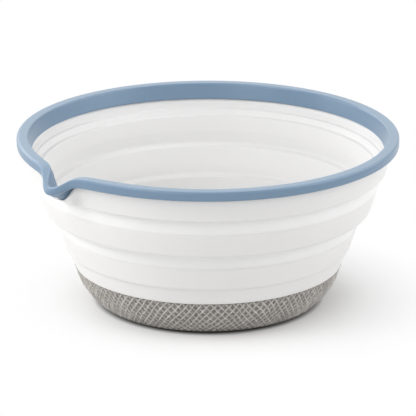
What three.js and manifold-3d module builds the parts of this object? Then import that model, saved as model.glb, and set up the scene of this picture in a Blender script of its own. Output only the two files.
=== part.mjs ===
// Collapsible brush cleaning bowl: a stepped soft wall that folds flat between a stiff rim and a stiff base.
// Millimetres, +Z up. The origin is the middle of the base, on the floor, and the spout points along +X.

import * as THREE from 'three';
import { mergeVertices } from 'three/addons/utils/BufferGeometryUtils.js';
import Module from 'manifold-3d';

// Driving dimensions: the rim and the radii of the wall, from the rim inwards.
const RIM_RADIUS = 75;
const RIM_WIDTH = 4.5;
const RIM_DEPTH = 6.4;
const RIM_LIP_DEPTH = 3.8;
const RIM_LIP_WALL = 2.1;
const RIM_TOP_WALL = 1.5;
const RIM_OUTER_ROUND = 1.1;
const RIM_INNER_ROUND = 0.7;
const SKIRT_WALL = 1;
const SKIRT_TAPER = 1.3;
const TOP_BAND_INSET = 5;
const UPPER_FOLD_STEP = 3.2;
const MIDDLE_FOLD_STEP = 5.1;
const LOWER_FOLD_STEP = 3;
const BAND_RUN = 2.8;

// Heights of the wall, from the floor up.
const BOOT_HEIGHT = 15.3;
const FOLD_RISE = 6.4;
const BAND_RISE = 9.7;
const TOP_BAND_RISE = 7.2;

// Thicknesses and small forms of the soft wall.
const BAND_WALL = 1.9;
const WEB_WALL = 1.4;
const BEAD_WALL = 1.2;
const LIP_ROUND = 1.7;
const EDGE_ROUND = 0.4;
const EDGE_STEP = 0.9;
const EDGE_DROP = 2.4;
const LEDGE_DROP = 2.3;
const UPPER_FOLD_TUCK = 1.6;
const MIDDLE_FOLD_TUCK = 4.1;
const LOWER_FOLD_TUCK = 0.6;
const UPPER_FOLD_FOOT = 2.8;
const MIDDLE_FOLD_FOOT = 1.4;
const LOWER_FOLD_FOOT = 3.1;

// The pouring spout: how far the rim runs out and down at its tip, and how much of the round it takes.
// At the tip the rim is thinner across and less high, and its skirt stays behind as a keel.
const SPOUT_REACH = 5.1;
const SPOUT_DROP = 5.4;
const SPOUT_HALF_ANGLE = THREE.MathUtils.degToRad(4.5);
const SPOUT_SHOULDER_ROUND = 0.9;
const SPOUT_THINNING = 3.1;
const SPOUT_SLIMMING = 0.7;
const SPOUT_KEEL = 2.2;

// The base: boot, stiff plate and scrubbing pad.
const BOOT_FOOT_INSET = 9.9;
const BOOT_BELLY = 3.2;
const BOOT_WALL = 1.6;
const BOOT_SOLE = 1.6;
const BASE_WALL = 1.5;
const PLATE_THICKNESS = 2.4;
const PAD_THICKNESS = 1.5;
const PAD_RELIEF = 2;
const RIB_COUNT = 20;
const RIB_LENGTH = 11;
const RIB_WIDTH = 1.8;
const RIB_MARGIN = 2;
const RIDGE_COUNT = 2;
const RIDGE_PITCH = 4.2;
const RIDGE_WIDTH = 1.9;
const NUB_RADIUS = 1.2;
const NUB_PITCH = 4.6;

// Gap between pieces that are moulded or pressed together, and the count of flats round the bowl.
const FIT = 0.3;
const SPOUT_COLUMNS = 72;
const PLAIN_COLUMNS = 48;
const NUB_SIDES = 6;
const CORNER_STEPS = 2;
const SPOUT_CROWDING = 0.78;

// Places that follow from the sizes above. Each stiff band has an edge at its top and a lip at its bottom.
const LOWER_LIP_Z = BOOT_HEIGHT + FOLD_RISE;
const LOWER_EDGE_Z = LOWER_LIP_Z + BAND_RISE;
const UPPER_LIP_Z = LOWER_EDGE_Z + FOLD_RISE;
const UPPER_EDGE_Z = UPPER_LIP_Z + BAND_RISE;
const TOP_LIP_Z = UPPER_EDGE_Z + FOLD_RISE;
const SKIRT_Z = TOP_LIP_Z + TOP_BAND_RISE;
const RIM_TOP_Z = SKIRT_Z + RIM_DEPTH;
const RIM_LIP_Z = RIM_TOP_Z - RIM_LIP_DEPTH;
const TOP_LIP_R = RIM_RADIUS - TOP_BAND_INSET;
const UPPER_EDGE_R = TOP_LIP_R - UPPER_FOLD_STEP;
const UPPER_LIP_R = UPPER_EDGE_R - BAND_RUN;
const LOWER_EDGE_R = UPPER_LIP_R - MIDDLE_FOLD_STEP;
const LOWER_LIP_R = LOWER_EDGE_R - BAND_RUN;
const BOOT_R = LOWER_LIP_R - LOWER_FOLD_STEP;
const SKIRT_TOP_R = RIM_RADIUS - RIM_WIDTH;
const SKIRT_R = SKIRT_TOP_R - SKIRT_TAPER;
const CHANNEL_INNER_R = SKIRT_R + SKIRT_WALL;
const CHANNEL_OUTER_R = RIM_RADIUS - RIM_LIP_WALL;
const CHANNEL_TOP_Z = RIM_TOP_Z - RIM_TOP_WALL;

const wasm = await Module();
wasm.setup();

// Turns corners [radius, height, rounding] into an outline whose rounded corners are short curves.
function outline(corners, closed = true) {
  const points = [];
  const at = (index) => {
    const [r, z] = corners[(index + corners.length) % corners.length];
    return new THREE.Vector2(r, z);
  };
  corners.forEach(([, , rounding = 0], index) => {
    const corner = at(index);
    const isEnd = !closed && (index === 0 || index === corners.length - 1);
    if (rounding === 0 || isEnd) {
      points.push(corner);
      return;
    }
    const reach = (other) => {
      const step = other.clone().sub(corner);
      return corner.clone().add(step.setLength(Math.min(rounding, step.length() * 0.45)));
    };
    const curve = new THREE.QuadraticBezierCurve(reach(at(index - 1)), corner, reach(at(index + 1)));
    points.push(...curve.getPoints(CORNER_STEPS));
  });
  return points;
}

// Leaves only the places of a geometry's vertices, welded, with no collapsed triangles.
function weld(geometry) {
  geometry.deleteAttribute('normal');
  geometry.deleteAttribute('uv');
  const welded = mergeVertices(geometry, 1e-4);
  const kept = [];
  const index = welded.index.array;
  for (let i = 0; i < index.length; i += 3) {
    const [a, b, c] = index.slice(i, i + 3);
    if (a !== b && b !== c && c !== a) kept.push(a, b, c);
  }
  welded.setIndex(kept);
  welded.computeVertexNormals();
  return welded;
}

// Revolves an outline round the bowl's axis.
// A closed outline makes a ring, an open one starts and ends on the axis.
function revolve(points, closed = true) {
  const loop = closed ? [...points, points[0]] : points;
  const geometry = new THREE.LatheGeometry(loop, PLAIN_COLUMNS);
  geometry.rotateX(Math.PI / 2);
  return weld(geometry);
}

// How far out the spout has come at an angle from +X: 1 at its round tip, fading to 0 past its shoulders.
function spoutShare(angle) {
  const left = 1 - (angle / SPOUT_HALF_ANGLE) ** 2;
  return (left + Math.hypot(left, SPOUT_SHOULDER_ROUND)) / (1 + Math.hypot(1, SPOUT_SHOULDER_ROUND));
}

// Lofts a ring whose outline changes with the spout.
// The soft wall takes up the spout's form between its lip and the rim.
function loftRound(outlineAt) {
  const columns = [];
  for (let column = 0; column < SPOUT_COLUMNS; column++) {
    const turn = (column / SPOUT_COLUMNS) * 2 * Math.PI - Math.PI;
    const angle = turn - SPOUT_CROWDING * Math.sin(turn);
    const share = spoutShare(angle);
    columns.push(outlineAt(share).map((point) => {
      const rise = THREE.MathUtils.clamp((point.y - TOP_LIP_Z) / (SKIRT_Z - FIT - TOP_LIP_Z), 0, 1);
      const radius = point.x + SPOUT_REACH * share * rise;
      const height = point.y - SPOUT_DROP * share * rise;
      return [radius * Math.cos(angle), radius * Math.sin(angle), height];
    }));
  }
  const ring = columns[0].length;
  const faces = [];
  for (let column = 0; column < SPOUT_COLUMNS; column++) {
    const here = column * ring;
    const next = ((column + 1) % SPOUT_COLUMNS) * ring;
    for (let i = 0; i < ring; i++) {
      const j = (i + 1) % ring;
      faces.push(here + i, next + i, next + j, here + i, next + j, here + j);
    }
  }
  const geometry = new THREE.BufferGeometry();
  geometry.setAttribute('position', new THREE.Float32BufferAttribute(columns.flat(2), 3));
  geometry.setIndex(faces);
  geometry.computeVertexNormals();
  return geometry;
}

// The blue rim: an upside-down channel over the wall's bead. At the spout the channel closes to a solid keel.
function rimRing() {
  const { lerp } = THREE.MathUtils;
  return loftRound((share) => outline([
    [CHANNEL_OUTER_R, RIM_LIP_Z],
    [RIM_RADIUS, RIM_LIP_Z + SPOUT_SLIMMING * share, RIM_INNER_ROUND],
    [RIM_RADIUS, RIM_TOP_Z - SPOUT_SLIMMING * share, RIM_OUTER_ROUND],
    [SKIRT_TOP_R + SPOUT_THINNING * share, RIM_TOP_Z, RIM_INNER_ROUND],
    [SKIRT_R - SPOUT_KEEL * share, SKIRT_Z],
    [CHANNEL_INNER_R - SPOUT_KEEL * share, SKIRT_Z],
    [CHANNEL_INNER_R + FIT - SPOUT_KEEL * share, lerp(CHANNEL_TOP_Z, SKIRT_Z + FIT, share)],
    [CHANNEL_OUTER_R, lerp(CHANNEL_TOP_Z, RIM_LIP_Z - FIT, share)],
  ]));
}

// The top of the soft wall: a bead in the rim's channel, an upright band and a lip over the first fold.
function topBand() {
  const { lerp } = THREE.MathUtils;
  const beadInner = CHANNEL_INNER_R + 2 * FIT;
  const beadOuter = beadInner + BEAD_WALL;
  const keelBead = beadInner - SPOUT_KEEL;
  const beadTop = CHANNEL_TOP_Z - FIT;
  const shoulder = SKIRT_Z - FIT;
  return loftRound((share) => outline([
    [TOP_LIP_R - BAND_WALL, TOP_LIP_Z],
    [TOP_LIP_R, TOP_LIP_Z, 2 * EDGE_ROUND],
    [lerp(beadOuter, keelBead + FIT, share), lerp(RIM_LIP_Z, shoulder - FIT, share) - BEAD_WALL],
    [lerp(beadOuter, keelBead + FIT, share), lerp(beadTop, shoulder, share)],
    [lerp(beadInner, keelBead, share), lerp(beadTop, shoulder + FIT / 2, share)],
    [lerp(beadInner, keelBead, share), shoulder],
    [SKIRT_R - FIT - SPOUT_KEEL * share, shoulder, EDGE_ROUND],
  ]));
}

// A stiff step of the wall: a conical ring with a small bead at its top edge and a rounded lip at its bottom.
function bandRing(edgeR, edgeZ, lipR, lipZ) {
  return revolve(outline([
    [lipR - BAND_WALL, lipZ],
    [lipR, lipZ, LIP_ROUND],
    [edgeR - EDGE_STEP, edgeZ - EDGE_DROP],
    [edgeR, edgeZ, EDGE_ROUND],
    [edgeR - EDGE_STEP - BAND_WALL, edgeZ, EDGE_ROUND],
  ]));
}

// A flexible web: it stands on the step below, runs up behind the lip above
// and turns out to that step's inner face.
// The lean is how fast that inner face opens with height.
function foldOutline({ footR, footZ, foot, lipR, lipZ, tuck, lean }) {
  const endR = lipR - BAND_WALL - FIT + lean * tuck;
  const neckR = footR + FIT;
  const endZ = lipZ + tuck;
  return outline([
    [footR - foot, footZ + FIT],
    [footR, footZ + FIT],
    [neckR, endZ - WEB_WALL / 2, WEB_WALL],
    [endR, endZ],
    [endR + lean * WEB_WALL, endZ + WEB_WALL],
    [neckR - WEB_WALL, endZ + WEB_WALL - LEDGE_DROP, WEB_WALL / 2],
  ]);
}

// The outer curve of the boot from its top edge to the floor, and the same curve set in by a wall.
const bootTop = new THREE.Vector2(BOOT_R, BOOT_HEIGHT);
const bootFoot = new THREE.Vector2(BOOT_R - BOOT_FOOT_INSET, 0);
const bootBelly = bootTop.clone().lerp(bootFoot, 0.5).add(new THREE.Vector2(BOOT_BELLY, -BOOT_BELLY / 2));
const bootCurve = new THREE.QuadraticBezierCurve(bootFoot, bootBelly, bootTop);

function bootRadius(z) {
  const points = bootCurve.getPoints(60);
  const above = Math.max(1, points.findIndex((point) => point.y >= z - 1e-6));
  const [low, high] = [points[above - 1], points[above]];
  return THREE.MathUtils.mapLinear(z, low.y, high.y, low.x, high.x);
}

function bootWall(inset, from, to, steps = 4) {
  return Array.from({ length: steps + 1 }, (_, i) => {
    const z = THREE.MathUtils.lerp(from, to, i / steps);
    return new THREE.Vector2(bootRadius(z) - inset, z);
  });
}

const PLATE_Z = BOOT_SOLE + FIT;
const PAD_Z = PLATE_Z + PLATE_THICKNESS + FIT;
const LINER_INSET = BOOT_WALL + FIT;

// The grey boot: a thin cup with a flat sole.
function gripBoot() {
  const outer = bootWall(0, 0, BOOT_HEIGHT, 6);
  const inner = bootWall(BOOT_WALL, BOOT_SOLE, BOOT_HEIGHT).reverse();
  const middle = [new THREE.Vector2(0, 0), new THREE.Vector2(0, BOOT_SOLE)];
  return revolve([middle[0], ...outer, ...inner, middle[1]], false);
}

// The lowest white wall: it lines the boot and stands on the plate.
function baseWall() {
  const outer = bootWall(LINER_INSET, PAD_Z, BOOT_HEIGHT);
  const inner = bootWall(LINER_INSET + BASE_WALL, PAD_Z, BOOT_HEIGHT).reverse();
  return revolve([...outer, ...inner]);
}

// The stiff plate under the floor, with its edge against the boot.
function basePlate() {
  const top = PLATE_Z + PLATE_THICKNESS;
  const edge = bootWall(LINER_INSET, PLATE_Z, top, 1);
  return revolve([new THREE.Vector2(0, PLATE_Z), ...edge, new THREE.Vector2(0, top)], false);
}

function toSolid(geometry) {
  const welded = weld(geometry.index ? geometry : mergeVertices(geometry));
  const vertProperties = new Float32Array(welded.attributes.position.array);
  const triVerts = new Uint32Array(welded.index.array);
  return new wasm.Manifold(new wasm.Mesh({ numProp: 3, vertProperties, triVerts }));
}

function toGeometry(solid) {
  const mesh = solid.getMesh();
  const geometry = new THREE.BufferGeometry();
  geometry.setAttribute('position', new THREE.Float32BufferAttribute(mesh.vertProperties, 3));
  geometry.setIndex(Array.from(mesh.triVerts));
  geometry.computeVertexNormals();
  return geometry;
}

// The scrubbing pad: radial ribs outside, round ridges next, and rings of nubs in the middle.
function scrubPad() {
  const radius = bootRadius(PAD_Z) - LINER_INSET - BASE_WALL - FIT;
  const top = PAD_Z + PAD_THICKNESS;
  const crest = top + PAD_RELIEF;
  const ribOuter = radius - RIB_MARGIN;
  const ribInner = ribOuter - RIB_LENGTH;
  const face = [[0, PAD_Z], [radius, PAD_Z], [radius, top]];
  for (let ridge = 0; ridge < RIDGE_COUNT; ridge++) {
    const middle = ribInner - RIDGE_PITCH * (ridge + 0.5);
    face.push([middle + RIDGE_WIDTH / 2, top], [middle + RIDGE_WIDTH / 4, crest]);
    face.push([middle - RIDGE_WIDTH / 4, crest], [middle - RIDGE_WIDTH / 2, top]);
  }
  face.push([0, top]);
  let pad = toSolid(revolve(face.map(([r, z]) => new THREE.Vector2(r, z)), false));

  const section = new THREE.Shape();
  section.moveTo(-RIB_WIDTH / 2, -PAD_THICKNESS / 2);
  section.lineTo(RIB_WIDTH / 2, -PAD_THICKNESS / 2);
  section.lineTo(RIB_WIDTH / 4, PAD_RELIEF);
  section.lineTo(-RIB_WIDTH / 4, PAD_RELIEF);
  for (let rib = 0; rib < RIB_COUNT; rib++) {
    const bar = new THREE.ExtrudeGeometry(section, { depth: RIB_LENGTH, bevelEnabled: false });
    bar.rotateX(Math.PI / 2);
    bar.rotateZ(Math.PI / 2);
    bar.translate(ribInner, 0, top);
    bar.rotateZ((rib / RIB_COUNT) * 2 * Math.PI);
    pad = pad.add(toSolid(bar));
  }

  const nubReach = ribInner - RIDGE_PITCH * RIDGE_COUNT - NUB_PITCH / 2;
  for (let ring = 0; ring * NUB_PITCH <= nubReach; ring++) {
    const count = Math.max(1, ring * 6);
    for (let nub = 0; nub < count; nub++) {
      const height = PAD_RELIEF + PAD_THICKNESS / 2;
      const stud = new THREE.CylinderGeometry(NUB_RADIUS / 2, NUB_RADIUS, height, NUB_SIDES);
      stud.rotateX(Math.PI / 2);
      stud.translate(ring * NUB_PITCH, 0, crest - height / 2);
      stud.rotateZ((nub / count) * 2 * Math.PI);
      pad = pad.add(toSolid(stud));
    }
  }
  return toGeometry(pad);
}

const BAND_LEAN = (BAND_RUN - EDGE_STEP) / BAND_RISE;
const TOP_BAND_LEAN = 0;
const KEEL_CLEARANCE = 0.4;
const upperFold = (share) => foldOutline({
  footR: UPPER_EDGE_R, footZ: UPPER_EDGE_Z, foot: UPPER_FOLD_FOOT,
  lipR: TOP_LIP_R - SPOUT_KEEL * share * KEEL_CLEARANCE, lipZ: TOP_LIP_Z,
  tuck: UPPER_FOLD_TUCK, lean: TOP_BAND_LEAN,
});
const middleFold = foldOutline({
  footR: LOWER_EDGE_R, footZ: LOWER_EDGE_Z, foot: MIDDLE_FOLD_FOOT,
  lipR: UPPER_LIP_R, lipZ: UPPER_LIP_Z, tuck: MIDDLE_FOLD_TUCK, lean: BAND_LEAN,
});
const lowerFold = foldOutline({
  footR: BOOT_R, footZ: BOOT_HEIGHT, foot: LOWER_FOLD_FOOT,
  lipR: LOWER_LIP_R, lipZ: LOWER_LIP_Z, tuck: LOWER_FOLD_TUCK, lean: BAND_LEAN,
});

const bluePlastic = () => new THREE.MeshStandardMaterial({ color: 0x9db9d8, roughness: 0.35, metalness: 0 });
const whiteRubber = () => new THREE.MeshStandardMaterial({ color: 0xf2f1ef, roughness: 0.55, metalness: 0 });
const whitePlastic = () => new THREE.MeshStandardMaterial({ color: 0xe9e9e7, roughness: 0.45, metalness: 0 });
const greyRubber = () => new THREE.MeshStandardMaterial({ color: 0x96928d, roughness: 0.85, metalness: 0 });

const bowl = new THREE.Group();

function addPiece(name, geometry, material) {
  const piece = new THREE.Mesh(geometry, material);
  piece.name = name;
  bowl.add(piece);
}

addPiece('grip_boot', gripBoot(), greyRubber());
addPiece('base_plate', basePlate(), whitePlastic());
addPiece('base_wall', baseWall(), whiteRubber());
addPiece('scrub_pad', scrubPad(), whiteRubber());
addPiece('lower_fold', revolve(lowerFold), whiteRubber());
addPiece('lower_band', bandRing(LOWER_EDGE_R, LOWER_EDGE_Z, LOWER_LIP_R, LOWER_LIP_Z), whiteRubber());
addPiece('middle_fold', revolve(middleFold), whiteRubber());
addPiece('upper_band', bandRing(UPPER_EDGE_R, UPPER_EDGE_Z, UPPER_LIP_R, UPPER_LIP_Z), whiteRubber());
addPiece('upper_fold', loftRound(upperFold), whiteRubber());
addPiece('top_band', topBand(), whiteRubber());
addPiece('rim_ring', rimRing(), bluePlastic());

export default bowl;
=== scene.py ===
# Collapsible brush cleaning bowl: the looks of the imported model, in its own frame, in metres.
# The bowl is put together from the floor up, and the stage, the lights and the camera come last.

import math

import bmesh
import bpy
import numpy as np
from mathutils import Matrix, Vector, noise


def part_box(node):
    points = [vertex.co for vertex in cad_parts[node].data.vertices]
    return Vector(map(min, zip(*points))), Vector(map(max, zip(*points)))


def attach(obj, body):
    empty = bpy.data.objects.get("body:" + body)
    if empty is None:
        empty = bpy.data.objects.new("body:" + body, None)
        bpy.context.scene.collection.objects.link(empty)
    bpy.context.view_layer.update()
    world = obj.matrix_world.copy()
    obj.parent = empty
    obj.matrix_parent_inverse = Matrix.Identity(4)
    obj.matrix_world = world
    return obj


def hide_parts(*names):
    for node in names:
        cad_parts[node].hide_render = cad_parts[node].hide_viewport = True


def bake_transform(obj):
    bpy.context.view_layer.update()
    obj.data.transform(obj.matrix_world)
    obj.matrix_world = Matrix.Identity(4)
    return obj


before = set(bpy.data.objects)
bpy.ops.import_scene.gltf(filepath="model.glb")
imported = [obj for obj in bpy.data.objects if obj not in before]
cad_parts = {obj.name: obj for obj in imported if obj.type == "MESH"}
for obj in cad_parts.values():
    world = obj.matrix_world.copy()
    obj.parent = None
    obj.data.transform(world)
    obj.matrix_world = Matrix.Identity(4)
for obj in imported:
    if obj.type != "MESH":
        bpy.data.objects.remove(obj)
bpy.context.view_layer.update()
scene = bpy.context.scene
MM = 0.001

# Grip boot
# A thin cup of warm grey thermoplastic rubber, moulded over the stiff base as a non-slip foot.
# Its side carries a moulded net of crossing cords, with rough rubber in the meshes between them.
# The real net is a little finer: it is drawn as coarse as it needs to show.

boot_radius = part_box("grip_boot")[1].x
boot_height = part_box("grip_boot")[1].z
BOOT_FOOT_INSET = 9.9 * MM
BOOT_BELLY = 3.2 * MM
BOOT_WALL = 1.6 * MM
BOOT_SOLE = 1.6 * MM
BOOT_SAMPLES = 200
LINING_ROWS = 6
LINING_TONE = 0.5
SOLE_GAP = 1.2 * MM
SOLE_INSET = 4.5 * MM
SOLE_EDGE_INSET = 0.3 * MM
SOLE_EDGE_RISE = 0.9 * SOLE_GAP
# The sole takes the darkest grey of the meshes: painted shade under the foot's edge.
SOLE_PAINTED_SHADE_TONE = 0.0
NET_CELLS = 118
NET_CELL_HEIGHT = 3.7 * MM
NET_MARGIN = 0.35 * MM
NET_COLUMNS = NET_CELLS * 14
NET_ROWS = 100
CORD_HALF_WIDTH = 0.5 * MM
CORD_HEIGHT = 0.9 * MM
CORD_ROUNDNESS = 1.3
CORD_LIFT = 0.12
CORD_WANDER = 0.26
CORD_FADE = 0.3
WANDER_PATCH = 2.2 * NET_CELL_HEIGHT
FADE_PATCH = 1.6 * NET_CELL_HEIGHT
MESH_ROUGHNESS = 0.3
MESH_GRIT = 0.5 * MM
PATCH_SHIFT = 40
WELD_DISTANCE = 0.002 * MM
SHARP_ANGLE = math.radians(50)


def linear(hex_colour):
    """An sRGB hex colour as the linear red, green, blue and alpha that a shader takes."""
    channels = [int(hex_colour[i:i + 2], 16) / 255 for i in (1, 3, 5)]
    return [c / 12.92 if c <= 0.04045 else ((c + 0.055) / 1.055) ** 2.4 for c in channels] + [1.0]


def add_node(tree, kind, inputs=(), **settings):
    """Adds a node with its own settings; each input is a value or an output to link."""
    node = tree.nodes.new(kind)
    for name, value in settings.items():
        setattr(node, name, value)
    for name, value in dict(inputs).items():
        if isinstance(value, bpy.types.NodeSocket):
            tree.links.new(value, node.inputs[name])
        else:
            node.inputs[name].default_value = value
    return node


def new_material(name):
    """A new node material, with its node tree and its shader."""
    material = bpy.data.materials.new(name)
    material.use_nodes = True
    tree = material.node_tree
    return material, tree, tree.nodes["Principled BSDF"]


def add_piece(name, points, faces, material, tone_name=None, tones=()):
    """A smooth mesh piece with sharp hard edges and doubled points welded; named tones stay at its points."""
    mesh = bpy.data.meshes.new(name)
    work = bmesh.new()
    tone_layer = work.verts.layers.float.new(tone_name) if tone_name else None
    corners = [work.verts.new(point) for point in points]
    for corner, tone in zip(corners, np.ravel(tones)):
        corner[tone_layer] = tone
    for face in faces:
        work.faces.new([corners[i] for i in face])
    bmesh.ops.remove_doubles(work, verts=work.verts, dist=WELD_DISTANCE)
    bmesh.ops.recalc_face_normals(work, faces=work.faces)
    work.to_mesh(mesh)
    work.free()
    mesh.materials.append(material)
    mesh.polygons.foreach_set("use_smooth", [True] * len(mesh.polygons))
    mesh.set_sharp_from_angle(angle=SHARP_ANGLE)
    piece = bpy.data.objects.new(name, mesh)
    scene.collection.objects.link(piece)
    return piece


def grid_faces(columns, rows, closed):
    """Quads of a grid that goes round the bowl; a closed outline also joins its last row to its first."""
    strips = rows if closed else rows - 1
    faces = []
    for column in range(columns):
        here = column * rows
        there = (column + 1) % columns * rows
        for row in range(strips):
            above = (row + 1) % rows
            faces.append((here + row, there + row, there + above, here + above))
    return faces


def round_points(radii, heights, angles):
    """Places round the bowl's axis, for grids of radius and height with one row of points an angle."""
    across = np.cos(angles)[:, None] * radii
    along = np.sin(angles)[:, None] * radii
    return np.stack([across, along, np.broadcast_to(heights, across.shape)], axis=-1).reshape(-1, 3)


def boot_curve(share):
    """Radius and height on the boot's side, from the floor at 0 to its top edge at 1."""
    foot = np.array([boot_radius - BOOT_FOOT_INSET, 0])
    top = np.array([boot_radius, boot_height])
    belly = (foot + top) / 2 + np.array([BOOT_BELLY, -BOOT_BELLY / 2])
    share = np.asarray(share, float)[..., None]
    return (1 - share) ** 2 * foot + 2 * share * (1 - share) * belly + share ** 2 * top


def boot_radius_at(height):
    """The boot's outer radius at a height."""
    curve = boot_curve(np.linspace(0, 1, BOOT_SAMPLES))
    return float(np.interp(height, curve[:, 1], curve[:, 0]))


def net_relief(angles, run):
    """Height of the net, 0 in the meshes and 1 on the cords, for angles across and runs up the side."""
    def patches(size, shift):
        """Smooth chance values in patches of a size; the shift keeps one pattern apart from the others."""
        places = [
            (math.cos(a) * boot_radius / size, math.sin(a) * boot_radius / size + shift) for a in angles]
        return np.array([[noise.noise(Vector((x, y, r / size))) for r in run] for x, y in places])

    wander = CORD_WANDER * patches(WANDER_PATCH, 0)
    around = angles[:, None] * NET_CELLS / (2 * math.pi)
    up = run[None, :] / NET_CELL_HEIGHT
    cell_width = 2 * math.pi * boot_radius / NET_CELLS
    spacing = 1 / math.hypot(1 / cell_width, 1 / NET_CELL_HEIGHT)
    relief = np.zeros((len(angles), len(run)))
    rising, falling = around + up + wander, around - up + wander
    for cord, other, shift in ((rising, falling, PATCH_SHIFT), (falling, rising + 1, 2 * PATCH_SHIFT)):
        off = np.abs((cord + 0.5) % 1 - 0.5) * spacing / CORD_HALF_WIDTH
        crown = np.cos(np.clip(off, 0, 1) * math.pi / 2) ** CORD_ROUNDNESS
        over = 1 - CORD_LIFT + CORD_LIFT * np.cos(math.pi * other)
        worn = 1 - CORD_FADE * np.clip(0.5 + patches(FADE_PATCH, shift), 0, 1)
        relief = np.maximum(relief, crown * over * worn)
    rough = MESH_ROUGHNESS * np.clip(0.5 + patches(MESH_GRIT, 3 * PATCH_SHIFT), 0, 1)
    relief = np.maximum(relief, rough)
    edge = np.minimum(run, run[-1] - run) / NET_MARGIN
    return relief * np.clip(edge, 0, 1)[None, :]


def whole_turn(values):
    """The same values at every column of the boot."""
    return np.broadcast_to(np.array(values)[None, :], (NET_COLUMNS, len(values)))


boot_angles = np.arange(NET_COLUMNS) * 2 * math.pi / NET_COLUMNS
flank = np.linspace(0, 1, 2 * BOOT_SAMPLES)
side_start = float(np.interp(SOLE_GAP, boot_curve(flank)[:, 1], flank))
side = boot_curve(np.linspace(side_start, 1, NET_ROWS))
steps = np.hypot(*np.diff(side, axis=0).T)
side_run = np.concatenate([[0], np.cumsum(steps)])
slope = np.gradient(side, axis=0)
slope /= np.hypot(*slope.T)[:, None]
relief = net_relief(boot_angles, side_run)
sink = (relief - 1) * CORD_HEIGHT
sink[:, [0, -1]] = 0
radii = side[None, :, 0] + sink * slope[None, :, 1]
heights = np.maximum(side[None, :, 1] - sink * slope[None, :, 0], 0)
lining = [(boot_radius_at(z) - BOOT_WALL, z) for z in np.linspace(boot_height, BOOT_SOLE, LINING_ROWS)]
lining.append((0, BOOT_SOLE))
foot_edge = float(side[0, 0])
sole_middle = 0.4 * boot_radius
sole = [
    (0, 0),
    (sole_middle, 0),
    (foot_edge - SOLE_INSET, 0),
    (foot_edge - SOLE_EDGE_INSET, SOLE_EDGE_RISE),
]
boot_radii = np.hstack([whole_turn([r for r, _ in sole]), radii, whole_turn([r for r, _ in lining])])
boot_heights = np.hstack([whole_turn([z for _, z in sole]), heights, whole_turn([z for _, z in lining])])
boot_tone = np.hstack([
    whole_turn([SOLE_PAINTED_SHADE_TONE] * len(sole)), relief, whole_turn([LINING_TONE] * len(lining))])

# Thermoplastic rubber from a spark-eroded mould: dull. Its grey follows the net's height as painted light and
# shade: paler on the cords, darker down in the meshes.
CORD_GREY_PAINTED_LIGHT = "#dedad5"
MESH_GREY_PAINTED_SHADE = "#7a7671"
RUBBER_GRIT = 0.35 * MM
RUBBER_GRIT_DEPTH = 0.15 * MM
RUBBER_BLOTCH = 0.9 * MM
RUBBER_MOTTLE = 0.9
rubber, tree, shader = new_material("moulded grey grip rubber")
place = add_node(tree, "ShaderNodeTexCoord").outputs["Object"]
tone = add_node(tree, "ShaderNodeAttribute", attribute_name="net_height").outputs["Fac"]
grit = add_node(tree, "ShaderNodeTexNoise", {"Vector": place, "Scale": 1 / RUBBER_GRIT, "Detail": 3})
blotch = add_node(tree, "ShaderNodeTexNoise", {"Vector": place, "Scale": 1 / RUBBER_BLOTCH, "Detail": 2})
mottle = add_node(tree, "ShaderNodeMath", {
    0: blotch.outputs["Fac"], 1: RUBBER_MOTTLE, 2: -RUBBER_MOTTLE / 2}, operation="MULTIPLY_ADD")
level = add_node(tree, "ShaderNodeMath", {0: tone, 1: mottle.outputs[0]}, operation="ADD", use_clamp=True)
grey = add_node(tree, "ShaderNodeMix", {
    0: level.outputs[0], 6: linear(MESH_GREY_PAINTED_SHADE), 7: linear(CORD_GREY_PAINTED_LIGHT)}, data_type="RGBA")
bump = add_node(tree, "ShaderNodeBump", {
    "Height": grit.outputs["Fac"], "Strength": 0.5, "Distance": RUBBER_GRIT_DEPTH})
tree.links.new(grey.outputs[2], shader.inputs["Base Color"])
tree.links.new(bump.outputs["Normal"], shader.inputs["Normal"])
shader.inputs["Roughness"].default_value = 0.75
shader.inputs["IOR"].default_value = 1.5

boot_rows = boot_radii.shape[1]
boot_points = round_points(boot_radii, boot_heights, boot_angles)
boot_faces = grid_faces(NET_COLUMNS, boot_rows, False)
boot = add_piece("grip_boot_net", boot_points, boot_faces, rubber, "net_height", boot_tone)
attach(boot, "base")
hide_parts("grip_boot")

# Base plate
# A stiff polypropylene disc inside the foot that keeps the floor of the bowl flat.
# It is injection moulded and shut in between the boot and the pad, so it only needs its plain skin.

# Polypropylene from a fine-grained mould: an even off-white with a satin gloss.
PLATE_WHITE = "#e9e9e6"
PLATE_GRAIN = 0.5 * MM
plate_plastic, tree, shader = new_material("moulded white polypropylene")
place = add_node(tree, "ShaderNodeTexCoord").outputs["Object"]
grain = add_node(tree, "ShaderNodeTexNoise", {"Vector": place, "Scale": 1 / PLATE_GRAIN, "Detail": 2})
sheen = add_node(tree, "ShaderNodeMapRange", {"Value": grain.outputs["Fac"], "To Min": 0.38, "To Max": 0.52})
tree.links.new(sheen.outputs["Result"], shader.inputs["Roughness"])
shader.inputs["Base Color"].default_value = linear(PLATE_WHITE)
shader.inputs["IOR"].default_value = 1.49
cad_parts["base_plate"].data.materials.clear()
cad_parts["base_plate"].data.materials.append(plate_plastic)

# Base wall
# The lowest part of the white wall, moulded inside the boot, with a flat shoulder over the boot's top edge.
# It is soft silicone-like rubber, as is all of the wall above it.
# From here up, a ring's section is drawn in millimetres, as corners of radius, height and rounding.

LINER_INSET = 1.9
LINER_WALL = 1.5
LINER_ROWS = 5
SHOULDER_RISE = 0.3
SHOULDER_INSET = 0.1
SHOULDER_GAP = 0.02
SHOULDER_EDGE_ROUND = 0.1
SHOULDER_ROUND = 0.5
RING_COLUMNS = 256
CORNER_STEPS = 6
LONGEST_STEP = 0.7 * MM
ROUNDING_LIMIT = 0.48
SHORTEST_SIDE = 1e-9
pad_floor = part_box("scrub_pad")[0].z
foot_radius = boot_radius / MM
boot_top = boot_height / MM


def in_metres(corners):
    """A section's corners, from millimetres to metres."""
    return [tuple(value * MM for value in corner) for corner in corners]


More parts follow.
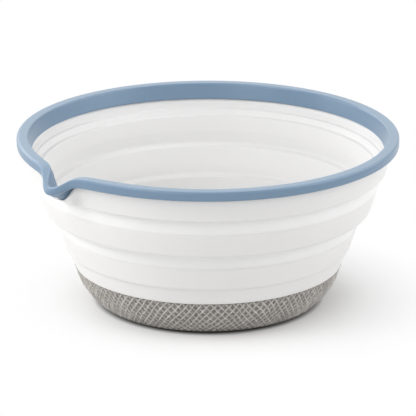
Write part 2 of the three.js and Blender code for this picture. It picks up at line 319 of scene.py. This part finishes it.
def rounded(corners, closed=True, steps=None):
    """Points along corners (radius, height, rounding): a curve at each rounding, even steps between.

    The straight stretches have short steps, or as many of them as steps says.
    """
    count = len(corners)
    bends = []
    for index, (radius, height, rounding) in enumerate(corners):
        corner = np.array([radius, height])
        if rounding == 0 or (not closed and index in (0, count - 1)):
            bends.append([corner])
            continue
        arms = []
        for other in (corners[index - 1], corners[(index + 1) % count]):
            arm = np.array(other[:2]) - corner
            length = max(np.hypot(*arm), SHORTEST_SIDE)
            arms.append(arm * min(rounding, length * ROUNDING_LIMIT) / length)
        shares = np.linspace(0, 1, CORNER_STEPS + 1)[:, None]
        bends.append(list(corner + arms[0] * (1 - shares) ** 2 + arms[1] * shares ** 2))
    points = []
    for index, bend in enumerate(bends):
        points.extend(bend)
        if closed or index < count - 1:
            start, end = bend[-1], bends[(index + 1) % count][0]
            pieces = steps or max(1, math.ceil(np.hypot(*(end - start)) / LONGEST_STEP))
            points.extend(start + (end - start) * i / pieces for i in range(1, pieces))
    return np.array(points)


def turned(section, columns):
    """Points of a section that is turned once round the bowl's axis."""
    angles = np.arange(columns) * 2 * math.pi / columns
    radii = np.broadcast_to(section[None, :, 0], (columns, len(section)))
    return round_points(radii, section[None, :, 1], angles)


def add_ring(name, corners, material):
    """A round ring from its section's corners."""
    section = rounded(in_metres(corners))
    faces = grid_faces(RING_COLUMNS, len(section), True)
    return add_piece(name, turned(section, RING_COLUMNS), faces, material)


# Soft silicone-like rubber with a fine satin skin: it lets a little light in and has a broad, weak gloss.
WALL_WHITE = "#f1f0ef"
SKIN_GRAIN = 0.3 * MM
SKIN_DEPTH = 0.05 * MM
SKIN_CLOUD = 14 * MM
wall_rubber, tree, shader = new_material("moulded white soft rubber")
place = add_node(tree, "ShaderNodeTexCoord").outputs["Object"]
grain = add_node(tree, "ShaderNodeTexNoise", {"Vector": place, "Scale": 1 / SKIN_GRAIN, "Detail": 3})
cloud = add_node(tree, "ShaderNodeTexNoise", {"Vector": place, "Scale": 1 / SKIN_CLOUD, "Detail": 2})
gloss = add_node(tree, "ShaderNodeMapRange", {"Value": cloud.outputs["Fac"], "To Min": 0.42, "To Max": 0.54})
bump = add_node(tree, "ShaderNodeBump", {
    "Height": grain.outputs["Fac"], "Strength": 0.06, "Distance": SKIN_DEPTH})
tree.links.new(gloss.outputs["Result"], shader.inputs["Roughness"])
tree.links.new(bump.outputs["Normal"], shader.inputs["Normal"])
shader.inputs["Base Color"].default_value = linear(WALL_WHITE)
shader.inputs["IOR"].default_value = 1.42
shader.inputs["Subsurface Weight"].default_value = 0.12
shader.inputs["Subsurface Radius"].default_value = (1.0, 1.0, 1.0)
shader.inputs["Subsurface Scale"].default_value = 1.2 * MM

liner_heights = np.linspace(pad_floor / MM, boot_top, LINER_ROWS)[:-1]
liner_outside = [(boot_radius_at(z * MM) / MM - LINER_INSET, z, 0) for z in liner_heights]
liner_inside = [(r - LINER_WALL, z, 0) for r, z, _ in liner_outside]
liner_top = foot_radius - LINER_INSET
shoulder = boot_top + SHOULDER_RISE
base_wall = add_ring("base_wall_liner", [
    *liner_outside,
    (liner_top, boot_top, 0),
    (foot_radius - SHOULDER_INSET, boot_top + SHOULDER_GAP, 0),
    (foot_radius - SHOULDER_INSET, shoulder, SHOULDER_EDGE_ROUND),
    (liner_top - LINER_WALL, shoulder, SHOULDER_ROUND),
    *reversed(liner_inside),
], wall_rubber)
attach(base_wall, "base")
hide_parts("base_wall")

# Scrubbing pad
# The floor of the bowl, moulded in the wall's soft rubber, with ribs, ridges and nubs to rub brush heads on.
# Its hidden pattern is the usual one for such bowls: ribs outside, round ridges next, nubs in the middle.

PAD_THICKNESS = 1.5 * MM
PAD_RELIEF = 2 * MM
PAD_ROUND = 0.5 * MM
PAD_COLUMNS = 160
RIB_COUNT = 20
RIB_LENGTH = 11 * MM
RIB_WIDTH = 1.8 * MM
RIB_MARGIN = 2 * MM
RIB_END_SHARE = 0.2
RIB_END_THINNESS = 0.06
RIB_STEPS = 10
RIB_SIDES = 12
RIDGE_COUNT = 2
RIDGE_PITCH = 4.2 * MM
RIDGE_WIDTH = 1.9 * MM
NUB_RADIUS = 1.2 * MM
NUB_TOP_RADIUS = 0.55 * NUB_RADIUS
NUB_ROUND = 0.8 * MM
NUB_PITCH = 4.6 * MM
NUB_COLUMNS = 16
NUBS_A_RING = 6
pad_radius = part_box("scrub_pad")[1].x
pad_top = pad_floor + PAD_THICKNESS
pad_crest = pad_top + PAD_RELIEF
rib_outer = pad_radius - RIB_MARGIN
rib_inner = rib_outer - RIB_LENGTH

pad_corners = [(0, pad_floor, 0), (pad_radius, pad_floor, 0), (pad_radius, pad_top, PAD_ROUND)]
for ridge in range(RIDGE_COUNT):
    middle = rib_inner - RIDGE_PITCH * (ridge + 0.5)
    pad_corners += [
        (middle + RIDGE_WIDTH / 2, pad_top, PAD_ROUND),
        (middle + RIDGE_WIDTH / 4, pad_crest, PAD_ROUND),
        (middle - RIDGE_WIDTH / 4, pad_crest, PAD_ROUND),
        (middle - RIDGE_WIDTH / 2, pad_top, PAD_ROUND),
    ]
pad_section = rounded(pad_corners + [(0, pad_top, 0)], closed=False)
pad_points = list(turned(pad_section, PAD_COLUMNS))
pad_faces = grid_faces(PAD_COLUMNS, len(pad_section), False)


def add_shell(points, faces):
    """Adds a separate closed form to the pad's mesh."""
    start = len(pad_points)
    pad_points.extend(points)
    pad_faces.extend(tuple(start + i for i in face) for face in faces)


def add_nub(x, y):
    """A nub with a rounded top, standing in the pad."""
    root = pad_top - PAD_THICKNESS / 2
    section = rounded([
        (0, root, 0),
        (NUB_RADIUS, root, 0),
        (NUB_TOP_RADIUS, pad_crest, NUB_ROUND),
        (0, pad_crest, 0),
    ], closed=False)
    points = turned(section, NUB_COLUMNS) + np.array([x, y, 0])
    add_shell(points, grid_faces(NUB_COLUMNS, len(section), False))


def add_rib(angle):
    """A rounded bar that points at the middle of the pad and thins out at both ends."""
    points = []
    for step in range(RIB_STEPS + 1):
        share = step / RIB_STEPS
        from_end = min(1, min(share, 1 - share) / RIB_END_SHARE + RIB_END_THINNESS)
        thickness = math.sin(math.pi * from_end / 2)
        middle = np.array([rib_inner + RIB_LENGTH * share, 0, pad_top])
        for corner in range(RIB_SIDES):
            turn = 2 * math.pi * corner / RIB_SIDES
            points.append(middle + thickness * np.array([
                0, math.cos(turn) * RIB_WIDTH / 2, math.sin(turn) * PAD_RELIEF]))
    faces = []
    for step in range(RIB_STEPS):
        here, there = step * RIB_SIDES, (step + 1) * RIB_SIDES
        for corner in range(RIB_SIDES):
            beside = (corner + 1) % RIB_SIDES
            faces.append((here + corner, here + beside, there + beside, there + corner))
    faces += [tuple(range(RIB_SIDES)), tuple(range(RIB_STEPS * RIB_SIDES, len(points)))]
    cosine, sine = math.cos(angle), math.sin(angle)
    rotation = np.array([[cosine, -sine, 0], [sine, cosine, 0], [0, 0, 1]])
    add_shell([rotation @ point for point in points], faces)


for index in range(RIB_COUNT):
    add_rib(2 * math.pi * index / RIB_COUNT)
nub_reach = rib_inner - RIDGE_PITCH * RIDGE_COUNT - NUB_PITCH / 2
for ring in range(int(nub_reach / NUB_PITCH) + 1):
    nubs = max(1, ring * NUBS_A_RING)
    for index in range(nubs):
        turn = 2 * math.pi * index / nubs
        add_nub(ring * NUB_PITCH * math.cos(turn), ring * NUB_PITCH * math.sin(turn))
pad = add_piece("scrub_pad_relief", pad_points, pad_faces, wall_rubber)
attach(pad, "base")
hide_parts("scrub_pad")

# Stepped wall
# One moulding of soft white rubber: stiff conical steps with a lip at the bottom, joined by thin webs.
# Each web stands on the step below and is tucked up behind the lip above.
# It rolls over when the bowl is pressed flat; here it is squeezed between the two steps.

BAND_WALL = 1.9
BAND_RUN = 2.8
LIP_ROUND = 1.7
LIP_INNER_ROUND = 0.4
EDGE_WALL = 2.8
EDGE_HEIGHT = 0.6
EDGE_ROUND = 1.2
LEDGE_ROUND = 0.5
LOWER_LEDGE = 0.6
LOWER_EDGE = 58.9
UPPER_EDGE = 66.8
WEB_TUCK = 0.25
WEB_FOOT_HEIGHT = 0.4
lower_lip_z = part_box("lower_band")[0].z / MM
lower_edge_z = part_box("lower_band")[1].z / MM
upper_lip_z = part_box("upper_band")[0].z / MM
upper_edge_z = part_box("upper_band")[1].z / MM
top_lip_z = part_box("top_band")[0].z / MM

# The webs are thin, so light from inside the bowl comes through them. Their outside is painted a whiter tone
# as painted light for it, beside more subsurface light.
WEB_WHITE_PAINTED_LIGHT = "#fafaf9"
web_rubber_painted_light = wall_rubber.copy()
web_rubber_painted_light.name = "soft rubber with painted light"
shader = web_rubber_painted_light.node_tree.nodes["Principled BSDF"]
shader.inputs["Base Color"].default_value = linear(WEB_WHITE_PAINTED_LIGHT)
shader.inputs["Subsurface Weight"].default_value = 0.3


def add_step(name, node, body, edge_radius, ledge):
    """A stiff step: a rounded lip at its bottom, a conical side, a soft edge and, if any, a ledge inside."""
    low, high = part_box(node)
    lip_z, edge_z = low.z / MM, high.z / MM
    lip_radius = edge_radius - BAND_RUN
    piece = add_ring(name, [
        (lip_radius - BAND_WALL, lip_z, LIP_INNER_ROUND),
        (lip_radius, lip_z, LIP_ROUND),
        (edge_radius, edge_z - EDGE_HEIGHT, EDGE_ROUND),
        (edge_radius, edge_z + WEB_TUCK, 0),
        (edge_radius - EDGE_WALL - ledge, edge_z + WEB_TUCK, LEDGE_ROUND if ledge else 0),
    ], wall_rubber)
    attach(piece, body)
    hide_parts(node)


def paint_light_through(piece):
    """Paints the outside of a web that hangs free a whiter tone, as painted light for light coming through
    from behind it.
    """
    piece.data.materials.append(web_rubber_painted_light)
    for face in piece.data.polygons:
        face.material_index = int(face.center.xy.dot(face.normal.xy) > 0)


def hold_web(piece, node):
    """Bakes a web's place into its points, and hides the part that it stands for."""
    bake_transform(piece)
    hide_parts(node)


def upper_inside(rise):
    """Radius of the upper step's inner face, at a rise over its lip."""
    foot, top = UPPER_EDGE - BAND_RUN - BAND_WALL, UPPER_EDGE - EDGE_WALL
    return foot + (top - foot) * rise / (upper_edge_z + WEB_TUCK - upper_lip_z)


# The lower web: a foot over the boot, a plain cone, and a short tuck behind the lower step's lip.
# As in the other webs, its corners are set off from the edges that it joins.
LOWER_WEB_FOOT = 3.0
LOWER_WEB_GAP = 0.1
lower_web_seat = boot_top + LOWER_WEB_GAP
lower_web = add_ring("lower_web", [
    (foot_radius - LOWER_WEB_FOOT, lower_web_seat, 0),
    (foot_radius - 0.15, lower_web_seat, 0),
    (foot_radius, boot_top + 0.35, 0.1),
    (foot_radius + 1.9, lower_lip_z + 0.1, 0),
    (foot_radius + 2.1, lower_lip_z + 0.9, 0),
    (foot_radius + 1.5, lower_lip_z + 2.2, 0),
    (foot_radius + 1.1, lower_lip_z + 1.9, 0),
    (foot_radius - 0.9, lower_lip_z - 0.4, 0.9),
    (foot_radius - LOWER_WEB_FOOT, boot_top + WEB_FOOT_HEIGHT, 0.6),
], wall_rubber)
hold_web(lower_web, "lower_fold")
add_step("lower_step_ring", "lower_band", "lower_step", LOWER_EDGE, LOWER_LEDGE)

# The middle web: an upright foot on the lower step, a bend outwards, a long tuck behind the upper step.
MIDDLE_WEB_FOOT = 2.9
MIDDLE_TUCK_TOP = 9.0
MIDDLE_TUCK_FOOT = 5.9
middle_web_seat = lower_edge_z + WEB_TUCK
middle_web = add_ring("middle_web", [
    (LOWER_EDGE - MIDDLE_WEB_FOOT, middle_web_seat, 0),
    (LOWER_EDGE, middle_web_seat, 0),
    (LOWER_EDGE + 0.2, upper_lip_z - 1.4, 2.5),
    (LOWER_EDGE + 4.0, upper_lip_z + 4.1, 0),
    (upper_inside(MIDDLE_TUCK_TOP) + 0.2, upper_lip_z + MIDDLE_TUCK_TOP, 0),
    (upper_inside(MIDDLE_TUCK_TOP) - 0.03, upper_lip_z + MIDDLE_TUCK_TOP - 0.1, 0),
    (upper_inside(MIDDLE_TUCK_FOOT) - 0.06, upper_lip_z + MIDDLE_TUCK_FOOT, 0.9),
    (LOWER_EDGE + 1.9, upper_lip_z + 5.4, 0.35),
    (LOWER_EDGE - 1.0, upper_lip_z - 2.2, 3.5),
    (LOWER_EDGE - 1.5, lower_edge_z + 0.8, 0.6),
    (LOWER_EDGE - MIDDLE_WEB_FOOT, middle_web_seat + 0.05, 0),
], wall_rubber)
paint_light_through(middle_web)
hold_web(middle_web, "middle_fold")
add_step("upper_step_ring", "upper_band", "upper_step", UPPER_EDGE, 0)

# Spout and upper web
# The rim and the top of the wall run out and down together to a narrow pouring lip.
# The wall takes the form up between its top lip and the rim, so the two stay seated on each other.
# The upper web, the last thin one of the wall, draws in a little behind it to leave room for its keel.

SPOUT_REACH = 5.1
SPOUT_DROP = 5.4
SPOUT_HALF_ANGLE = math.radians(4.9)
SPOUT_SHOULDER_ROUND = 1.1
SPOUT_TAPER = 0.4
SPOUT_KEEL = 2.2
SPOUT_COLUMNS = 400
SPOUT_CROWDING = 0.78
SPAN_STEPS = 6
KEEL_CLEARANCE = 0.4
SKIRT_DEPTH = 6.4
rim_top_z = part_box("rim_ring")[1].z / MM
skirt_z = rim_top_z - SKIRT_DEPTH
# The columns stand closer together at the spout, where the form changes fast.
turns = np.arange(SPOUT_COLUMNS) * 2 * math.pi / SPOUT_COLUMNS - math.pi
spout_angles = turns - SPOUT_CROWDING * np.sin(turns)


def mix(a, b, share):
    """A value between a and b."""
    return a + (b - a) * share


def spout_share_at(angles):
    """How far the spout is run out at an angle from its middle, from 0 to 1, with soft shoulders."""
    left_over = 1 - (angles / SPOUT_HALF_ANGLE) ** 2
    share = left_over + np.hypot(left_over, SPOUT_SHOULDER_ROUND)
    return share / (1 + math.hypot(1, SPOUT_SHOULDER_ROUND))


spout_share = spout_share_at(spout_angles)


def add_spouted_ring(name, section_at, material):
    """A ring that follows the spout; section_at gives its corners for the spout's share at an angle.

    How far each stretch of the section faces up stays at the ring's points.
    """
    sections = np.array([rounded(in_metres(section_at(share)), steps=SPAN_STEPS) for share in spout_share])
    rise = np.clip((sections[..., 1] - top_lip_z * MM) / (skirt_z * MM - top_lip_z * MM), 0, 1)
    narrowed = spout_share_at(spout_angles[:, None] / mix(SPOUT_TAPER, 1, rise))
    radii = sections[..., 0] + SPOUT_REACH * MM * narrowed * rise
    heights = sections[..., 1] - SPOUT_DROP * MM * spout_share[:, None] * rise
    points = round_points(radii, heights, spout_angles)
    along = np.roll(sections, -1, axis=1) - np.roll(sections, 1, axis=1)
    lengths = np.hypot(along[..., 0], along[..., 1])
    facing_up = -along[..., 0] / np.maximum(lengths, SHORTEST_SIDE)
    faces = grid_faces(SPOUT_COLUMNS, sections.shape[1], True)
    return add_piece(name, points, faces, material, "section_up", facing_up)


UPPER_WEB_FOOT = 2.75
upper_web_seat = upper_edge_z + WEB_TUCK


def upper_web_section(share):
    """The upper web: a flat foot, a low step outwards, and a tuck up the back of the top of the wall."""
    drawn_in = SPOUT_KEEL * KEEL_CLEARANCE * share
    return [
        (UPPER_EDGE - UPPER_WEB_FOOT, upper_web_seat, 0),
        (UPPER_EDGE, upper_web_seat, 0),
        (UPPER_EDGE + 0.3, top_lip_z + 0.9, 1.2),
        (UPPER_EDGE + 1.7 - drawn_in, top_lip_z + 1.6, 0),
        (UPPER_EDGE + 2.0 - drawn_in, top_lip_z + 3.0, 0),
        (UPPER_EDGE + 2.3 - drawn_in, top_lip_z + 4.9, 0),
        (UPPER_EDGE + 1.75 - drawn_in, top_lip_z + 3.6, 0.3),
        (UPPER_EDGE + 0.9 - drawn_in, top_lip_z + 3.35, 0.25),
        (UPPER_EDGE - 0.1, top_lip_z + 1.05, 0.3),
        (UPPER_EDGE - 1.2, top_lip_z + 0.8, 0.25),
        (UPPER_EDGE - UPPER_WEB_FOOT, upper_web_seat + 0.05, 0),
    ]


upper_web = add_spouted_ring("upper_web", upper_web_section, wall_rubber)
paint_light_through(upper_web)
hold_web(upper_web, "upper_fold")

# Top of the wall
# The last step of the white moulding: an upright band with a bead that is pressed up into the rim's channel.
# Its lip hangs over the first fold, and beside the spout it swells out to meet the keel.

TOP_LIP = 70
TOP_LIP_ROUND = 0.9
RIM_FACE = 3.8
CHANNEL_CROWN = 1.5
SKIRT = 69.2
BEAD_INNER = 70.8
BEAD_OUTER = 72
BEAD_FOOT = 1.2
KEEL_BEAD = BEAD_INNER - SPOUT_KEEL
KEEL_FIT = 0.05
KEEL_BACK = SKIRT - KEEL_FIT - SPOUT_KEEL
SETBACK = 70.2
SETBACK_FOOT = 68.6
SETBACK_HEIGHT = 3.3
SETBACK_ROUND = 0.2
SETBACK_FOOT_ROUND = 0.6
FIT = 0.3
SWELL = 3.0
SWELL_AT_LIP = 0.4
SWELL_AT_BEAD = 0.7
SWELL_RISE = 2.4
SWELL_LEAN = 0.5
SWELL_ROUND = 1.0
SWELL_STARTS = 0.14
SWELL_GROWTH = 0.36
SWELL_ENDS = 1.05
SWELL_FADING = 0.4
rim_lip_z = rim_top_z - RIM_FACE
channel_top = rim_top_z - CHANNEL_CROWN


def swell(share):
    """How far the wall swells out beside the keel: none away from the spout, most half way up its flank."""
    growing = (share - SWELL_STARTS) / SWELL_GROWTH
    fading = (SWELL_ENDS - share) / SWELL_FADING
    ramps = [min(1.0, max(0.0, ramp)) for ramp in (growing, fading)]
    return SWELL * math.prod(ramp * ramp * (3 - 2 * ramp) for ramp in ramps)


def top_band_section(share):
    """The band under the rim; its bead leaves the channel for the keel where the spout is run out."""
    out = swell(share)
    bead_outer = mix(BEAD_OUTER, KEEL_BEAD + FIT, share)
    bead_inner = mix(BEAD_INNER, KEEL_BEAD, share)
    return [
        (TOP_LIP - BAND_WALL, top_lip_z, LIP_INNER_ROUND),
        (TOP_LIP + SWELL_AT_LIP * out, top_lip_z, TOP_LIP_ROUND),
        (TOP_LIP + SWELL_LEAN + out, top_lip_z + SWELL_RISE, SWELL_ROUND),
        (bead_outer + SWELL_AT_BEAD * out, mix(rim_lip_z, skirt_z - 2 * FIT, share) - BEAD_FOOT, 0),
        (bead_outer, mix(channel_top - FIT, skirt_z - FIT, share), 0),
        (bead_inner, mix(channel_top - FIT, skirt_z - FIT / 2, share), 0),
        (bead_inner, skirt_z - FIT, 0),
        (mix(SETBACK, KEEL_BACK, share), skirt_z - FIT, SETBACK_ROUND),
        (SETBACK_FOOT - SPOUT_KEEL / 2 * share, top_lip_z + SETBACK_HEIGHT, SETBACK_FOOT_ROUND),
    ]


top_band = add_spouted_ring("top_step_ring", top_band_section, wall_rubber)
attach(top_band, "rim")
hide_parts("top_band")

# Rim
# A stiff light-blue polypropylene ring, moulded as an upside-down channel and pressed over the wall's bead.
# It keeps the mouth round, and its skirt lines the wall inside.

RIM_RADIUS = 75
RIM_FOOT_ROUND = 0.7
RIM_EDGE_ROUND = 1.1
SKIRT_TOP = 70.5
SKIRT_TOP_ROUND = 0.7
SKIRT_ROUND = 0.25
CHANNEL_INNER = 70.2
CHANNEL_OUTER = 72.9
SPOUT_THINNING = 3.1
SPOUT_SLIMMING = 0.7

# Polypropylene, moulded with a satin skin: a soft gloss. The paler blue on the faces that look up is painted
# light, for the stronger light on the top.
RIM_BLUE = "#7992aa"
RIM_BLUE_DEEP = "#758ea6"
RIM_BLUE_PAINTED_TOP_LIGHT = "#93aac0"
RIM_SHEEN = "#e8f2ff"
RIM_GRAIN = 0.4 * MM
RIM_GRAIN_DEPTH = 0.05 * MM
RIM_CLOUD = 11 * MM
TOP_LIGHT_FROM = 0.72
TOP_LIGHT_WHOLE = 0.85
rim_plastic, tree, shader = new_material("moulded light blue polypropylene")
place = add_node(tree, "ShaderNodeTexCoord").outputs["Object"]
grain = add_node(tree, "ShaderNodeTexNoise", {"Vector": place, "Scale": 1 / RIM_GRAIN, "Detail": 3})
cloud = add_node(tree, "ShaderNodeTexNoise", {"Vector": place, "Scale": 1 / RIM_CLOUD, "Detail": 3})
tint = add_node(tree, "ShaderNodeMix", {
    0: cloud.outputs["Fac"], 6: linear(RIM_BLUE_DEEP), 7: linear(RIM_BLUE)}, data_type="RGBA")
gloss = add_node(tree, "ShaderNodeMapRange", {"Value": cloud.outputs["Fac"], "To Min": 0.29, "To Max": 0.32})
bump = add_node(tree, "ShaderNodeBump", {
    "Height": grain.outputs["Fac"], "Strength": 0.05, "Distance": RIM_GRAIN_DEPTH})
facing = add_node(tree, "ShaderNodeAttribute", attribute_name="section_up").outputs["Fac"]
# Painted light: faces that look up are mixed to a paler blue, for the light that falls on the top.
painted_top_light = add_node(tree, "ShaderNodeMapRange", {
    "Value": facing, "From Min": TOP_LIGHT_FROM, "From Max": TOP_LIGHT_WHOLE}, interpolation_type="SMOOTHSTEP")
blue = add_node(tree, "ShaderNodeMix", {
    0: painted_top_light.outputs["Result"], 6: tint.outputs[2], 7: linear(RIM_BLUE_PAINTED_TOP_LIGHT)}, data_type="RGBA")
tree.links.new(blue.outputs[2], shader.inputs["Base Color"])
tree.links.new(gloss.outputs["Result"], shader.inputs["Roughness"])
tree.links.new(bump.outputs["Normal"], shader.inputs["Normal"])
shader.inputs["IOR"].default_value = 1.55
shader.inputs["Specular Tint"].default_value = linear(RIM_SHEEN)


def rim_section(share):
    """The rim's channel; at the spout it thins, and its skirt goes in and closes it into a keel."""
    keel = SPOUT_KEEL * share
    slimming = SPOUT_SLIMMING * share
    return [
        (CHANNEL_OUTER, rim_lip_z, 0),
        (RIM_RADIUS, rim_lip_z + slimming, RIM_FOOT_ROUND),
        (RIM_RADIUS, rim_top_z - slimming, RIM_EDGE_ROUND),
        (SKIRT_TOP + SPOUT_THINNING * share, rim_top_z, SKIRT_TOP_ROUND),
        (SKIRT - keel, skirt_z, SKIRT_ROUND),
        (CHANNEL_INNER - keel, skirt_z, SKIRT_ROUND),
        (CHANNEL_INNER + FIT - keel, mix(channel_top, skirt_z + FIT, share), 0),
        (CHANNEL_OUTER, mix(channel_top, rim_lip_z - FIT, share), 0),
    ]


rim = add_spouted_ring("rim_ring_spouted", rim_section, rim_plastic)
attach(rim, "rim")
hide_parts("rim_ring")

# Floor and room
# A wide sheet of white paper under the bowl, in a white room. The paper keeps the bowl's shadow.
# Round the foot's edge its tone is painted dark, as painted shade for the contact shadow, and away from the
# bowl it fades to plain white.

CAMERA_TURN = math.radians(49.2)
FLOOR_SIZE = 6
PAPER_WHITE = "#fdfdfd"
PAPER_BOUNCE = "#e7e7e7"
PAPER_CONTACT_SHADE = "#5c5c5c"
CONTACT_DEPTH = 2.5 * MM
CONTACT_SPREAD = 1.6 * MM
SHADOW_START = 36 * MM
SHADOW_END = 94 * MM
SHADOW_RIGHT = 8 * MM
SHADOW_FRONT = 4 * MM
SKY_LEVEL = 0.35
shadow_middle = (
    math.cos(CAMERA_TURN) * SHADOW_FRONT - math.sin(CAMERA_TURN) * SHADOW_RIGHT,
    math.sin(CAMERA_TURN) * SHADOW_FRONT + math.cos(CAMERA_TURN) * SHADOW_RIGHT,
    0,
)
half = FLOOR_SIZE / 2
floor_corners = [(-half, -half, 0), (half, -half, 0), (half, half, 0), (-half, half, 0)]
floor_mesh = bpy.data.meshes.new("paper_floor")
floor_mesh.from_pydata(floor_corners, [], [(0, 1, 2, 3)])
floor = bpy.data.objects.new("paper_floor", floor_mesh)
scene.collection.objects.link(floor)

# Uncoated paper, matt and white to the eye; it throws a little less light back on the bowl.
paper = bpy.data.materials.new("white studio paper")
paper.use_nodes = True
tree = paper.node_tree
tree.nodes.clear()
path = add_node(tree, "ShaderNodeLightPath")
place = add_node(tree, "ShaderNodeTexCoord").outputs["Object"]
shade = add_node(tree, "ShaderNodeMix", {
    0: path.outputs["Is Camera Ray"], 6: linear(PAPER_BOUNCE), 7: linear(PAPER_WHITE)}, data_type="RGBA")
from_axis = add_node(tree, "ShaderNodeVectorMath", {0: place}, operation="LENGTH").outputs["Value"]
# Painted shade: the paper turns dark grey at the foot's edge, for the contact shadow.
contact_shade = add_node(tree, "ShaderNodeMapRange", {
    "Value": from_axis, "From Min": foot_edge - CONTACT_DEPTH, "From Max": foot_edge + CONTACT_SPREAD})
paper_tone = add_node(tree, "ShaderNodeMix", {
    0: contact_shade.outputs["Result"], 6: linear(PAPER_CONTACT_SHADE), 7: shade.outputs[2]}, data_type="RGBA")
matt = add_node(tree, "ShaderNodeBsdfDiffuse", {"Color": paper_tone.outputs[2]})
away = add_node(tree, "ShaderNodeVectorMath", {0: place, 1: shadow_middle}, operation="DISTANCE")
fade = add_node(tree, "ShaderNodeMapRange", {
    "Value": away.outputs["Value"], "From Min": SHADOW_START, "From Max": SHADOW_END},
    interpolation_type="SMOOTHSTEP")
seen = add_node(tree, "ShaderNodeMath", {
    0: path.outputs["Is Camera Ray"], 1: path.outputs["Is Glossy Ray"]}, operation="MAXIMUM")
faded = add_node(tree, "ShaderNodeMath", {
    0: fade.outputs["Result"], 1: seen.outputs[0]}, operation="MULTIPLY")
clear = add_node(tree, "ShaderNodeMath", {
    0: faded.outputs[0], 1: contact_shade.outputs["Result"]}, operation="MULTIPLY")
plain = add_node(tree, "ShaderNodeEmission", {"Strength": 1.0})
both = add_node(tree, "ShaderNodeMixShader", {0: clear.outputs[0], 1: matt.outputs[0], 2: plain.outputs[0]})
add_node(tree, "ShaderNodeOutputMaterial", {"Surface": both.outputs[0]})
floor_mesh.materials.append(paper)

# The room is white to the eye and in gloss, and dimmer as a light.
world = bpy.data.worlds.new("white studio")
scene.world = world
world.use_nodes = True
tree = world.node_tree
tree.nodes.clear()
path = add_node(tree, "ShaderNodeLightPath")
direct = add_node(tree, "ShaderNodeMath", {
    0: path.outputs["Is Camera Ray"], 1: path.outputs["Is Glossy Ray"]}, operation="MAXIMUM")
seen = add_node(tree, "ShaderNodeMath", {
    0: direct.outputs[0], 1: path.outputs["Is Transmission Ray"]}, operation="MAXIMUM")
level = add_node(tree, "ShaderNodeMix", {0: seen.outputs[0], 2: SKY_LEVEL, 3: 1.0})
sky = add_node(tree, "ShaderNodeBackground", {"Color": (1, 1, 1, 1), "Strength": level.outputs[0]})
add_node(tree, "ShaderNodeOutputWorld", {"Surface": sky.outputs[0]})

# Lights
# Soft boxes of a product studio: the key box high on the left, a weaker one near the camera, two round the
# left that light the wall's left side and the inside, and two on the right. Each call gives degrees to the
# camera's right, degrees up, width and height in metres, and watts.

LAMP_DISTANCE = 1.2


def studio_place(right, up, distance):
    """A place round the bowl, by degrees to the camera's right and degrees up."""
    turn = CAMERA_TURN + math.radians(right)
    lift = math.radians(up)
    across = math.cos(lift)
    return Vector((math.cos(turn) * across, math.sin(turn) * across, math.sin(lift))) * distance


def add_soft_box(name, right, up, wide, tall, power):
    """A soft box that faces the bowl. A broad one gives the same light with less glare on the rim."""
    lamp = bpy.data.lights.new(name, "AREA")
    lamp.shape = "RECTANGLE"
    lamp.size = wide
    lamp.size_y = tall
    lamp.energy = power
    box = bpy.data.objects.new(name, lamp)
    box.location = studio_place(right, up, LAMP_DISTANCE)
    box.rotation_euler = (-box.location).to_track_quat("-Z", "Y").to_euler()
    scene.collection.objects.link(box)


add_soft_box("key_box", -60, 45, 0.6, 0.6, 4.8)
add_soft_box("front_box", -30, 25, 0.6, 0.6, 2.2)
add_soft_box("left_box", -110, 15, 1.4, 0.6, 5.8)
add_soft_box("back_left_box", -150, 30, 0.6, 0.6, 1.6)
add_soft_box("right_box", 60, 20, 0.6, 0.6, 0.8)
add_soft_box("side_box", 90, 30, 1.4, 1.1, 8.4)

# Camera
# A long lens, about 20 degrees up, with the spout to its left and turned towards it.
# Its angles, distance and focal length were fitted to the ellipses of the rim and the base in the photograph.

CAMERA_DISTANCE = 1.2
CAMERA_LIFT = 20.12
CAMERA_AIM = 36.4 * MM
CAMERA_FOCAL_PIXELS = 3002
FRAME_PIXELS = 416
SENSOR_WIDTH = 36
camera_data = bpy.data.cameras.new("camera")
camera_data.sensor_width = SENSOR_WIDTH
camera_data.lens = CAMERA_FOCAL_PIXELS / FRAME_PIXELS * SENSOR_WIDTH
camera = bpy.data.objects.new("camera", camera_data)
camera.location = studio_place(0, CAMERA_LIFT, CAMERA_DISTANCE)
camera.rotation_euler = (Vector((0, 0, CAMERA_AIM)) - camera.location).to_track_quat("-Z", "Y").to_euler()
scene.collection.objects.link(camera)
scene.camera = camera
scene.view_settings.view_transform = "Standard"
